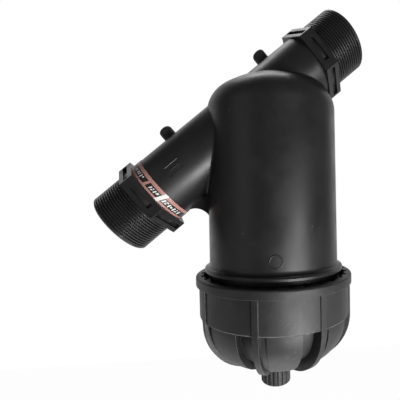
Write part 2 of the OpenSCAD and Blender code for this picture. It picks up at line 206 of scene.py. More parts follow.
FINISHES = (
    Finish(Slot.HOUSING, (0.0100, 0.0100, 0.0106), (0.05, 0.05, 0.05), 0.40, specular=0.42,
           relief=0.008 * MM, edge=0.06 * MM, scuffs=0.06, mottle=0.15, nicks=1.0),
    Finish(Slot.BOWL, (0.0120, 0.0119, 0.0118), (0.12, 0.12, 0.12), 0.53, specular=0.48, grain=0.9 * MM,
           relief=0.07 * MM, edge=0.7 * MM, wear=0.8, scuffs=0.8, mottle=0.3, lip_highlight=0.6),
    Finish(Slot.RUBBER, (0.011, 0.011, 0.011), (0.03, 0.03, 0.03), 0.62, grain=0.4 * MM, edge=0.3 * MM),
    Finish(Slot.SPINE, (0.012, 0.012, 0.012), (0.05, 0.05, 0.05), 0.45, wear=0.2),
    Finish(Slot.DISCS, (0.55, 0.016, 0.030), (0.62, 0.05, 0.06), 0.48, grain=0.3 * MM,
           edge=0.15 * MM, mottle=0.2),
    Finish(Slot.CAP, (0.010, 0.010, 0.011), (0.05, 0.05, 0.05), 0.22, edge=0.8 * MM, wear=0.15, coat=0.4),
)


class Graph:
    """Adds and links shader nodes in one tree."""

    def __init__(self, tree: bpy.types.NodeTree) -> None:
        """Keep the tree that the nodes go into."""
        self.tree = tree

    def node(self, kind: str, inputs: dict | None = None, **settings: object) -> bpy.types.Node:
        """Add a node.

        Args:
            kind: Type of the node.
            inputs: Values or output sockets for its inputs, by name or number.
            **settings: Properties of the node.

        Returns:
            The node.
        """
        made = self.tree.nodes.new(kind)
        for key, value in settings.items():
            setattr(made, key, value)
        for key, value in (inputs or {}).items():
            self.feed(made.inputs[key], value)
        return made

    def feed(self, socket: bpy.types.NodeSocket, value: object) -> None:
        """Link an output to a socket, or set the socket's own value.

        Args:
            socket: Input of a node.
            value: An output socket, or a plain value.
        """
        if isinstance(value, bpy.types.NodeSocket):
            self.tree.links.new(value, socket)
        else:
            socket.default_value = value

    def math(self, operation: str, a: object, b: object = 0.0, clamp: bool = False) -> bpy.types.NodeSocket:
        """Add a Math node and return its result."""
        made = self.node("ShaderNodeMath", {0: a, 1: b}, operation=operation, use_clamp=clamp)
        return made.outputs[0]

    def place(self) -> bpy.types.NodeSocket:
        """Give the place on the object."""
        return self.node("ShaderNodeTexCoord").outputs["Object"]

    def noise(self, at: object, scale: object, detail: float, roughness: float = 0.5) -> object:
        """Add a noise texture and return its value."""
        inputs = {"Vector": at, "Scale": scale, "Detail": detail, "Roughness": roughness}
        return self.node("ShaderNodeTexNoise", inputs).outputs["Fac"]

    def vector(self, operation: str, a: object, b: object = (0.0, 0.0, 0.0)) -> bpy.types.NodeSocket:
        """Add a Vector Math node and return its result, a number where the operation gives one."""
        number = operation in ("DOT_PRODUCT", "DISTANCE", "LENGTH")
        made = self.node("ShaderNodeVectorMath", {0: a, 1: b}, operation=operation)
        return made.outputs["Value" if number else "Vector"]

    def ramp(self, value: object, low: float, high: float, to_low: float = 0.0,
             to_high: float = 1.0) -> bpy.types.NodeSocket:
        """Map a value from one range to another, smoothly and clamped.

        Args:
            value: The value.
            low: Where its range starts.
            high: Where its range ends.
            to_low: Result at the start.
            to_high: Result at the end.

        Returns:
            The mapped value.
        """
        made = self.node("ShaderNodeMapRange", {"Value": value, "From Min": low, "From Max": high,
                                                "To Min": to_low, "To Max": to_high})
        made.interpolation_type = "SMOOTHSTEP"
        return made.outputs["Result"]

    def blend(self, factor: object, a: object, b: object) -> bpy.types.NodeSocket:
        """Mix two colours.

        Args:
            factor: Share of the second colour.
            a: First colour.
            b: Second colour.

        Returns:
            The mixed colour.
        """
        made = self.node("ShaderNodeMix", data_type="RGBA")
        self.feed(made.inputs[0], factor)
        self.feed(made.inputs[6], self.colour(a))
        self.feed(made.inputs[7], self.colour(b))
        return made.outputs[2]

    @staticmethod
    def colour(value: object) -> object:
        """Give a plain colour its alpha, and pass a socket on as it is."""
        return (*value, 1.0) if isinstance(value, tuple) else value


def fresh(owner: bpy.types.ID) -> Graph:
    """Empty the node tree of a material or world.

    Args:
        owner: The material or world.

    Returns:
        A graph for its tree.
    """
    owner.use_nodes = True
    owner.node_tree.nodes.clear()
    return Graph(owner.node_tree)


class Effects:
    """Shared shader groups. They give masks, heights, colours and normals only.

    The label's places are in millimetres: from and to round the pipe, then from and to across the band.
    """

    BLACK = (0.010, 0.009, 0.010)
    PINK = (0.40, 0.20, 0.175)
    WHITE = (0.66, 0.66, 0.64)
    BORDERS = ((0.2, 1.9), (6.9, 9.9))
    LEAN = 0.45
    DIVIDER = (38.4, 41.0, 1.9, 6.9)
    PATCH = (54.5, 58.3, 0.2, 9.9)
    MARKS = (
        (20.0, 21.2, 3.0, 5.8), (22.4, 23.4, 3.0, 4.4), (22.4, 23.4, 4.9, 5.8), (25.0, 26.2, 3.0, 5.8),
        (27.2, 28.8, 3.0, 4.0), (27.6, 28.8, 4.6, 5.8), (30.6, 31.6, 3.0, 5.8), (32.6, 34.0, 4.4, 5.8),
        (44.0, 45.2, 3.0, 5.8), (46.0, 47.6, 3.0, 4.2), (46.4, 47.6, 4.8, 5.8), (49.0, 50.2, 3.0, 5.8),
        (51.2, 53.0, 3.8, 5.8), (59.4, 61.0, 2.8, 6.0), (62.2, 63.4, 2.8, 4.4), (62.2, 64.4, 5.0, 6.0),
        (65.8, 67.2, 2.8, 6.0), (68.2, 70.0, 3.8, 5.2), (71.4, 73.0, 2.8, 6.0), (74.4, 76.2, 2.8, 4.2),
        (75.0, 76.4, 4.8, 6.0), (78.2, 80.2, 2.8, 6.0),
    )

    def __init__(self) -> None:
        """Build the groups."""
        self.grain = self._grain()
        self.edges = self._edges()
        self.scuffs = self._scuffs()
        self.nick = self._nick()
        self.lip_highlight = self._lip_highlight()
        self.print = self._print()

    @staticmethod
    def _group(name: str, inputs: dict[str, object], outputs: dict[str, str]) -> tuple:
        """Start a group with its sockets.

        Args:
            name: Name of the group.
            inputs: Default of each input, a number or a vector.
            outputs: Socket type of each output.

        Returns:
            The tree, a graph for it, its input node and its output node.
        """
        tree = bpy.data.node_groups.new(name, "ShaderNodeTree")
        for key, value in inputs.items():
            kind = FLOAT if isinstance(value, float) else VECTOR
            socket = tree.interface.new_socket(key, in_out="INPUT", socket_type=kind)
            socket.default_value = value
        for key, kind in outputs.items():
            tree.interface.new_socket(key, in_out="OUTPUT", socket_type=kind)
        graph = Graph(tree)
        return tree, graph, graph.node("NodeGroupInput"), graph.node("NodeGroupOutput")

    def _grain(self) -> bpy.types.NodeTree:
        """Build the moulded grain: a fine height and a cloudy tone."""
        outputs = {"Height": FLOAT, "Tone": FLOAT}
        tree, g, given, out = self._group("MouldedGrain", {"Size": 0.5 * MM}, outputs)
        at = g.place()
        g.feed(out.inputs["Height"], g.noise(at, g.math("DIVIDE", 1.0, given.outputs["Size"]), 3.0, 0.6))
        g.feed(out.inputs["Tone"], g.ramp(g.noise(at, 42.0, 4.0, 0.62), 0.3, 0.7, -1.0, 1.0))
        return tree

    def _edges(self) -> bpy.types.NodeTree:
        """Build the softened edges: a rounded normal, and a mask of the outer edges that get rubbed."""
        tree, g, given, out = self._group("SoftEdges", {"Width": 0.5 * MM}, {"Normal": VECTOR, "Mask": FLOAT})
        round_normal = g.node("ShaderNodeBevel", {"Radius": given.outputs["Width"]}, samples=6).outputs[0]
        flat_normal = g.node("ShaderNodeNewGeometry").outputs["Normal"]
        turned = g.ramp(g.vector("DOT_PRODUCT", round_normal, flat_normal), 0.985, 0.86)
        reach = g.math("MULTIPLY", given.outputs["Width"], 3.0)
        open_air = g.node("ShaderNodeAmbientOcclusion", {"Distance": reach}, samples=4, only_local=True)
        outer = g.ramp(open_air.outputs["AO"], 0.72, 0.95)
        broken = g.ramp(g.noise(g.place(), 260.0, 4.0, 0.7), 0.36, 0.66, 0.25, 1.0)
        g.feed(out.inputs["Normal"], round_normal)
        g.feed(out.inputs["Mask"], g.math("MULTIPLY", g.math("MULTIPLY", turned, outer), broken, clamp=True))
        return tree

    def _scuffs(self) -> bpy.types.NodeTree:
        """Build fine slanted scuffs in patches."""
        tree, g, given, out = self._group("Scuffs", {"Slant": 0.8}, {"Mask": FLOAT})
        at = g.place()
        turned = g.node("ShaderNodeVectorRotate", {"Vector": at, "Angle": given.outputs["Slant"]},
                        rotation_type="Y_AXIS").outputs[0]
        stretched = g.vector("MULTIPLY", turned, (150.0, 900.0, 2600.0))
        thin = g.ramp(g.noise(stretched, 1.0, 2.0), 0.60, 0.72)
        patch = g.ramp(g.noise(at, 60.0, 2.0), 0.44, 0.68)
        g.feed(out.inputs["Mask"], g.math("MULTIPLY", thin, patch))
        return tree

    def _nick(self) -> bpy.types.NodeTree:
        """Build one small rubbed spot with a ragged rim."""
        inputs = {"Place": (0.0, 0.0, 0.0), "Size": 1 * MM}
        tree, g, given, out = self._group("Nick", inputs, {"Mask": FLOAT})
        at = g.place()
        away = g.vector("DISTANCE", at, given.outputs["Place"])
        rim = g.math("MULTIPLY", g.math("SUBTRACT", g.noise(at, 900.0, 2.0), 0.5), 2.2)
        share = g.math("ADD", g.math("DIVIDE", away, given.outputs["Size"]), rim)
        g.feed(out.inputs["Mask"], g.ramp(share, 1.0, 0.45))
        return tree

    def _lip_highlight(self) -> bpy.types.NodeTree:
        """Build a painted highlight line round the body's axis at one height and radius, broken up by noise.
        """
        tree, g, given, out = self._group("PaintedLipHighlight", {"Height": 0.0, "Radius": 0.0}, {"Mask": FLOAT})
        at = g.place()
        off = g.vector("SUBTRACT", at, LAYOUT.crossing)
        away = g.vector("LENGTH", g.vector("MULTIPLY", off, (1.0, 1.0, 0.0)))
        rise = g.node("ShaderNodeSeparateXYZ", {0: off}).outputs[2]
        level = g.math("ABSOLUTE", g.math("SUBTRACT", rise, given.outputs["Height"]))
        reach = g.math("ABSOLUTE", g.math("SUBTRACT", away, given.outputs["Radius"]))
        broken = g.ramp(g.noise(at, 180.0, 3.0), 0.34, 0.62, 0.35, 1.0)
        line = g.math("MULTIPLY", g.ramp(level, 0.9 * MM, 0.3 * MM), g.ramp(reach, 1.6 * MM, 1.1 * MM))
        g.feed(out.inputs["Mask"], g.math("MULTIPLY", line, broken))
        return tree

    def _print(self) -> bpy.types.NodeTree:
        """Build the label's print, from millimetres round the pipe and across the band."""
        tree, g, given, out = self._group("LabelPrint", {"Round": 0.0, "Across": 0.0}, {"Color": COLOR})
        across = given.outputs["Across"]
        slant = g.math("SUBTRACT", given.outputs["Round"], g.math("MULTIPLY", across, self.LEAN))

        def inside(value: object, low: float, high: float) -> object:
            """Give 1 where a value lies between two limits."""
            return g.math("MULTIPLY", g.math("GREATER_THAN", value, low), g.math("LESS_THAN", value, high))

        def block(first: float, last: float, low: float, high: float) -> object:
            """Give 1 inside a leaning block of the print."""
            return g.math("MULTIPLY", inside(slant, first, last), inside(across, low, high))

        borders = g.math("MAXIMUM", *(inside(across, *border) for border in self.BORDERS))
        tone = self.BLACK
        for mark in self.MARKS:
            tone = g.blend(block(*mark), tone, self.WHITE)
        tone = g.blend(g.math("MAXIMUM", borders, block(*self.DIVIDER)), tone, self.PINK)
        tone = g.blend(block(*self.PATCH), tone, self.WHITE)
        g.feed(out.inputs["Color"], tone)
        return tree


class Paint:
    """Procedural materials of the part.

    NICKS holds the place and size of each rubbed spot, LIP_HIGHLIGHT the height and radius of the bowl's
    painted highlight line.
    """

    CLOUDY = 0.05
    FILM_ROUGHNESS = 0.42
    NICKS = (
        ((0.0781, -0.0461, 0.0713), 1.3 * MM),
        ((0.0688, -0.0367, 0.0083), 0.9 * MM),
        ((0.0870, -0.0521, -0.0262), 0.9 * MM),
        ((0.1425, -0.0527, -0.0220), 1.1 * MM),
    )
    LIP_HIGHLIGHT = (-198.1 * MM, 68.9 * MM)

    def __init__(self, effects: Effects) -> None:
        """Make a material for each finish and one for the label."""
        self.effects = effects
        self.of: dict[Slot, bpy.types.Material] = {f.slot: self._moulded(f) for f in FINISHES}
        self.of[Slot.LABEL] = self._label()

    @staticmethod
    def _start(name: str) -> tuple[bpy.types.Material, Graph, bpy.types.Node]:
        """Start a material.

        Args:
            name: Name of the material.

        Returns:
            The material, a graph for it and its Principled node.
        """
        made = bpy.data.materials.new(name)
        graph = fresh(made)
        shader = graph.node("ShaderNodeBsdfPrincipled")
        graph.node("ShaderNodeOutputMaterial", {"Surface": shader.outputs[0]})
        return made, graph, shader

    @staticmethod
    def _group(graph: Graph, tree: bpy.types.NodeTree, inputs: dict | None = None) -> bpy.types.Node:
        """Add one of the shared groups to a material.

        Args:
            graph: Graph of the material.
            tree: The group's tree.
            inputs: Values or output sockets for its inputs.

        Returns:
            The group's node.
        """
        made = graph.node("ShaderNodeGroup", node_tree=tree)
        for key, value in (inputs or {}).items():
            graph.feed(made.inputs[key], value)
        return made

    def _moulded(self, finish: Finish) -> bpy.types.Material:
        """Make the material of a finish.

        Args:
            finish: Its numbers.

        Returns:
            The material.
        """
        made, g, shader = self._start(finish.slot.value)
        grain = self._group(g, self.effects.grain, {"Size": finish.grain})
        edges = self._group(g, self.effects.edges, {"Width": finish.edge})
        scuffs = self._group(g, self.effects.scuffs)
        tone = g.math("MULTIPLY_ADD", grain.outputs["Tone"], finish.mottle)
        tone.node.inputs[2].default_value = 1.0
        base = g.node("ShaderNodeVectorMath", {0: finish.color, "Scale": tone}, operation="SCALE").outputs[0]
        worn = g.math("MULTIPLY", edges.outputs["Mask"], finish.wear)
        rubbed = g.math("MULTIPLY", scuffs.outputs["Mask"], finish.scuffs)
        marks = g.math("MAXIMUM", worn, rubbed)
        # The bowl gets a painted highlight line at its step, mixed in with the wear in the worn colour.
        if finish.lip_highlight:
            lip_highlight = self._group(g, self.effects.lip_highlight, {"Height": self.LIP_HIGHLIGHT[0], "Radius": self.LIP_HIGHLIGHT[1]})
            marks = g.math("MAXIMUM", marks, g.math("MULTIPLY", lip_highlight.outputs["Mask"], finish.lip_highlight))
        if finish.nicks:
            for place, size in self.NICKS:
                nick = self._group(g, self.effects.nick, {"Place": place, "Size": size})
                marks = g.math("MAXIMUM", marks, g.math("MULTIPLY", nick.outputs["Mask"], finish.nicks))
        g.feed(shader.inputs["Base Color"], g.blend(marks, base, finish.worn))
        rough = g.math("MULTIPLY_ADD", grain.outputs["Tone"], self.CLOUDY)
        rough.node.inputs[2].default_value = finish.roughness
        g.feed(shader.inputs["Roughness"], rough)
        g.feed(shader.inputs["Specular IOR Level"], finish.specular)
        g.feed(shader.inputs["Coat Weight"], finish.coat)
        bump = g.node("ShaderNodeBump", {"Height": grain.outputs["Height"], "Distance": finish.relief,
                                         "Normal": edges.outputs["Normal"]})
        g.feed(shader.inputs["Normal"], bump.outputs[0])
        return made

    def _label(self) -> bpy.types.Material:
        """Make the printed film."""
        made, g, shader = self._start(Slot.LABEL.value)
        spread = g.node("ShaderNodeUVMap", uv_map="band").outputs[0]
        parts = g.node("ShaderNodeSeparateXYZ", {0: spread})
        ink = self._group(g, self.effects.print, {"Round": parts.outputs[0], "Across": parts.outputs[1]})
        g.feed(shader.inputs["Base Color"], ink.outputs["Color"])
        g.feed(shader.inputs["Roughness"], self.FILM_ROUGHNESS)
        return made


def added(name: str, data: bpy.types.ID) -> bpy.types.Object:
    """Add an object with a mesh, camera or lamp to the scene.

    Args:
        name: Name of the object.
        data: What it shows.

    Returns:
        The object.
    """
    made = bpy.data.objects.new(name, data)
    bpy.context.scene.collection.objects.link(made)
    return made


def new_piece(name: str, points: list[Point], faces: list[Face], normals: list[Vector] | None = None,
              smooth: bool = True) -> bpy.types.Object:
    """Make a mesh object.

    Args:
        name: Name of the object.
        points: Its vertices.
        faces: Its polygons.
        normals: A normal for each corner of each polygon, if they are known.
        smooth: Whether it is shaded smooth.

    Returns:
        The object, linked to the scene.
    """
    mesh = bpy.data.meshes.new(name)
    mesh.from_pydata([tuple(p) for p in points], [], faces)
    mesh.polygons.foreach_set("use_smooth", [smooth] * len(mesh.polygons))
    if normals:
        mesh.normals_split_custom_set([tuple(n) for n in normals])
    else:
        shell = bmesh.new()
        shell.from_mesh(mesh)
        bmesh.ops.recalc_face_normals(shell, faces=shell.faces)
        shell.to_mesh(mesh)
        shell.free()
    mesh.update()
    LOG.info("%s: %d faces", name, len(faces))
    return added(name, mesh)


def wear(obj: bpy.types.Object, material: bpy.types.Material) -> None:
    """Give an object one material."""
    obj.data.materials.clear()
    obj.data.materials.append(material)


def lace(rows: int, width: int, closed: bool) -> list[Face]:
    """Join rows of points, each a closed loop, with four-sided faces.

    Args:
        rows: How many rows there are.
        width: Points in each row.
        closed: Whether the last row joins the first.

    Returns:
        The faces, with a cap at each end where the rows are not closed.
    """
    faces: list[Face] = []
    for r in range(rows if closed else rows - 1):
        s = (r + 1) % rows
        for k in range(width):
            n = (k + 1) % width
            faces.append((r * width + k, r * width + n, s * width + n, s * width + k))
    if not closed:
        faces.append(tuple(range(width - 1, -1, -1)))
        faces.append(tuple((rows - 1) * width + k for k in range(width)))
    return faces


@dataclass(frozen=True)
class Port:
    """One threaded end of the pipe.

    Attributes:
        base: Centre of the shoulder where the thread starts.
        axis: Direction out of the port.
        crest_r: Outside radius of the thread.
        length: Length of the threaded end.
        bevel: Bevel at its mouth.
        plain: Length at its mouth without a thread.
        bore_r: Radius of the waterway.
        pitch: Rise of the thread in one turn.
        depth: Depth of the thread.
        columns: Steps round the thread.
        rows: Steps in one pitch.
    """

    base: tuple[float, float, float]
    axis: tuple[float, float, float]
    crest_r: float = 29.8 * MM
    length: float = 30.5 * MM
    bevel: float = 1.3 * MM
    plain: float = 2.2 * MM
    bore_r: float = 25.5 * MM
    pitch: float = 2.309 * MM
    depth: float = 1.35 * MM
    columns: int = 168
    rows: int = 12

    CREST = 0.34
    ROOT = 0.12
    TOUCH = 0.03 * MM
    LAP = 0.05 * MM

    def frame(self) -> tuple[Vector, Vector, Vector, Vector]:
        """Give the base, the two directions across the port and the direction out of it."""
        out = Vector(self.axis).normalized()
        first = Vector((0.0, 1.0, 0.0))
        return Vector(self.base), first, out.cross(first), out

    def place(self, point: Vector) -> tuple[float, float]:
        """Place a point by the port.

        Args:
            point: The point.

        Returns:
            Its distance out of the port and its distance from the port's axis.
        """
        base, _, _, out = self.frame()
        at = point - base
        reach = at.dot(out)
        return reach, (at - out * reach).length

    def covers(self, points: list[Vector]) -> bool:
        """Tell whether a face belongs to the plain thread or to the ring at its mouth.

        Args:
            points: Corners of the face.

        Returns:
            True if the thread's skin takes its place.
        """
        places = [self.place(p) for p in points]
        foot = min(reach for reach, _ in places)
        tip = max(reach for reach, _ in places)
        if foot < -self.TOUCH or tip < self.TOUCH or tip > self.length + self.TOUCH:
            return False
        inner = min(r for _, r in places)
        outer = max(r for _, r in places)
        mouth = tip - foot < self.TOUCH
        return outer < self.crest_r + self.TOUCH and (mouth or inner > self.bore_r + self.TOUCH)

    def plain_radius(self, reach: float) -> float:
        """Give the outside radius without the thread at a distance out of the port."""
        return self.crest_r - max(0.0, reach - (self.length - self.bevel))

    def radius(self, angle: float, reach: float) -> float:
        """Give the radius of the threaded surface.

        Args:
            angle: Angle round the port.
            reach: Distance out of the port.

        Returns:
            The radius.
        """
        turn = (reach / self.pitch - angle / math.tau) % 1.0
        flank = (abs(2.0 * turn - 1.0) - self.CREST) / (1.0 - self.CREST - self.ROOT)
        flank = min(1.0, max(0.0, flank))
        end = (self.length - self.plain - reach) / (self.pitch / 3)
        fade = min(1.0, max(0.0, reach / self.pitch), max(0.0, end))
        groove = self.depth * fade * flank
        return min(self.crest_r - groove, self.plain_radius(reach))

    def normal(self, angle: float, reach: float) -> Vector:
        """Give the outward direction of the threaded surface.

        Args:
            angle: Angle round the port.
            reach: Distance out of the port.

        Returns:
            The direction.
        """
        _, first, second, out = self.frame()
        step = self.pitch / 60
        turn = 0.01
        along = (self.radius(angle, reach + step) - self.radius(angle, reach - step)) / (2 * step)
        round_it = (self.radius(angle + turn, reach) - self.radius(angle - turn, reach)) / (2 * turn)
        radial = first * math.cos(angle) + second * math.sin(angle)
        tangent = second * math.cos(angle) - first * math.sin(angle)
        return (radial - out * along - tangent * (round_it / self.radius(angle, reach))).normalized()

    def skin(self) -> tuple[list[Point], list[Face], list[Vector]]:
        """Build the threaded surface, with its rows along the helix, and the ring at its mouth.

        Returns:
            Points, faces and a normal for each corner.
        """
        base, first, second, out = self.frame()
        count = math.ceil((self.length / self.pitch + 1) * self.rows)
        wide = self.columns + 1
        points: list[Point] = []
        tilts: list[Vector] = []
        reaches: list[float] = []
        for k in range(count + 1):
            for i in range(wide):
                angle = math.tau * i / self.columns
                reach = (k / self.rows + i / self.columns - 1) * self.pitch
                reach = min(self.length, max(0.0, reach))
                radial = first * math.cos(angle) + second * math.sin(angle)
                points.append(base + out * reach + radial * self.radius(angle, reach))
                tilts.append(self.normal(angle, min(reach, self.length - self.pitch / 30)))
                reaches.append(reach)
        faces: list[Face] = []
        normals: list[Vector] = []
        for k in range(count):
            for i in range(self.columns):
                face = (k * wide + i, k * wide + i + 1, (k + 1) * wide + i + 1, (k + 1) * wide + i)
                if max(reaches[c] for c in face) - min(reaches[c] for c in face) > self.TOUCH / 10:
                    faces.append(face)
                    normals.extend(tilts[c] for c in face)
        ring = len(points)
        for i in range(self.columns):
            angle = math.tau * i / self.columns
            radial = first * math.cos(angle) + second * math.sin(angle)
            points.append(base + out * self.length + radial * self.plain_radius(self.length))
            points.append(base + out * self.length + radial * (self.bore_r - self.LAP))
        for i in range(self.columns):
            j = (i + 1) % self.columns
            faces.append((ring + 2 * i, ring + 2 * j, ring + 2 * j + 1, ring + 2 * i + 1))
            normals.extend([out] * 4)
        return points, faces, normals


@dataclass(frozen=True)
class Bead:
    """Small hollow fillet where the through-pipe meets the body.

    Attributes:
        name: Name of the piece.
        towards: Minus one on the inlet's side and one on the outlet's.
        limit: Farthest distance along the pipe at which the fillet may lie.
        start: Nearest distance along the pipe at which it may lie.
        radius: Radius of the hollow.
        root: How far the piece reaches into the walls.
        steps: Steps across the hollow.
        turns: Steps round the pipe.
    """

    name: str
    towards: int
    limit: float
    start: float = 20 * MM
    radius: float = 1.8 * MM
    root: float = 0.6 * MM
    steps: int = 6
    turns: int = 180

    FARTHEST = 130 * MM
    HALVINGS = 48

    def meet(self, angle: float) -> float:
        """Find where the rolling ball's centre lies along the pipe.

        Args:
            angle: Angle round the pipe.

        Returns:
            Its distance along the pipe, without its sign.
        """
        near = self.start
        far = self.FARTHEST
        for _ in range(self.HALVINGS):
            middle = (near + far) / 2
            at = LAYOUT.pipe_point(self.towards * middle, angle, LAYOUT.pipe_r + self.radius)
            gap, _ = LAYOUT.body_gap(at)
            if gap > self.radius:
                far = middle
            else:
                near = middle
        return (near + far) / 2

    def section(self, angle: float, along: float) -> list[tuple[Point, Vector]]:
        """Give the points and normals of one cross-section.

        Args:
            angle: Angle round the pipe.
            along: Place of the ball's centre, as meet gives it.

        Returns:
            The hollow's points, then the two points inside the walls.
        """
        centre = LAYOUT.pipe_point(self.towards * along, angle, LAYOUT.pipe_r + self.radius)
        on_pipe = LAYOUT.pipe_normal(angle)
        _, on_body = LAYOUT.body_gap(centre)
        between = math.acos(max(-1.0, min(1.0, on_pipe.dot(on_body))))
        row = []
        for k in range(self.steps + 1):
            share = k / self.steps
            away = on_pipe * math.sin((1 - share) * between) + on_body * math.sin(share * between)
            away.normalize()
            row.append((centre - away * self.radius, away))
        row.append((row[-1][0] - on_body * self.root, -on_body))
        row.append((row[0][0] - on_pipe * self.root, -on_pipe))
        return row

    def build(self) -> bpy.types.Object:
        """Build the fillet as a closed piece."""
        angles = [math.tau * i / self.turns for i in range(self.turns)]
        places = [self.meet(a) for a in angles]
        kept = [i for i in range(self.turns) if places[i] < self.limit]
        closed = len(kept) == self.turns
        if not closed:
            start = next(i for i in kept if (i - 1) % self.turns not in kept)
            kept = [(start + k) % self.turns for k in range(len(kept))]
        rows = [self.section(angles[i], places[i]) for i in kept]
        points = [p for row in rows for p, _ in row]
        tilts = [n for row in rows for _, n in row]
        faces = lace(len(rows), len(rows[0]), closed)
        if self.towards < 0:
            faces = [tuple(reversed(f)) for f in faces]
        return new_piece(self.name, points, faces, [tilts[c] for f in faces for c in f])


Surface = Callable[[float, float, float], Vector]
MARK_ROOT = 0.3 * MM


def on_pipe(start: float, angle: float) -> Surface:
    """Make a map from flat distances to the inlet pipe's surface.

    Args:
        start: Place of the flat origin along the pipe, from the crossing.
        angle: Its angle round the pipe.

    Returns:
        A function of the distance along, the distance round and the height.
    """
    return lambda a, b, h: LAYOUT.pipe_point(start + a, angle + b / LAYOUT.pipe_r, LAYOUT.pipe_r + h)


def on_body(height: float, bearing: float) -> Surface:
    """Make a map from flat distances to the body's side.

    Args:
        height: Height of the flat origin, from the crossing.
        bearing: Its angle round the body, zero at the front and growing to the right.

    Returns:
        A function of the distance to the right, the distance up and the height.
    """
    def place(a: float, b: float, h: float) -> Vector:
        """Give the point on the body's side."""
        radius = LAYOUT.body_radius(height + b)
        turn = bearing + a / radius
        out = Vector((math.sin(turn), -math.cos(turn), 0.0))
        return LAYOUT.centre + out * (radius + h) + Vector((0.0, 0.0, height + b))

    return place


def raised_bar(name: str, surface: Surface, start: tuple[float, float], end: tuple[float, float],
               width: float, height: float) -> bpy.types.Object:
    """Build a straight raised line on a surface.

    Args:
        name: Name of the piece.
        surface: Map from flat distances to the surface.
        start: Flat place of one end.
        end: Flat place of the other end.
        width: Width of the line.
        height: How far it stands out.

    Returns:
        The piece, closed, with sloping sides.
    """
    run = Vector((end[0] - start[0], end[1] - start[1]))
    side = Vector((-run.y, run.x)).normalized() * (width / 2)
    steps = max(4, math.ceil(run.length / (1 * MM)))
    slope = min(0.6, height / width)
    across = [(-1.0, -MARK_ROOT), (-1.0, 0.0), (-1.0 + 2 * slope, height), (1.0 - 2 * slope, height),
              (1.0, 0.0), (1.0, -MARK_ROOT)]
    points = []
    for i in range(steps + 1):
        mid = Vector(start) + run * (i / steps)
        for share, rise in across:
            at = mid + side * share
            points.append(surface(at.x, at.y, rise))
    return new_piece(name, points, lace(steps + 1, len(across), closed=False), smooth=False)


def raised_ring(name: str, surface: Surface, outer: float, inner: float, height: float) -> bpy.types.Object:
    """Build a raised ring on a surface.

    Args:
        name: Name of the piece.
        surface: Map from flat distances to the surface.
        outer: Outside radius.
        inner: Inside radius.
        height: How far it stands out.

    Returns:
        The piece, closed, with a round top.
    """
    turns = 64
    bulge = 8
    middle = (outer + inner) / 2
    half = (outer - inner) / 2
    across = [(middle + half * math.cos(math.pi * k / bulge), height * math.sin(math.pi * k / bulge))
              for k in range(bulge + 1)]
    across += [(inner, -MARK_ROOT), (outer, -MARK_ROOT)]
    points = []
    for i in range(turns):
        turn = math.tau * i / turns
        points += [surface(r * math.cos(turn), r * math.sin(turn), h) for r, h in across]
    return new_piece(name, points, lace(turns, len(across), closed=True))


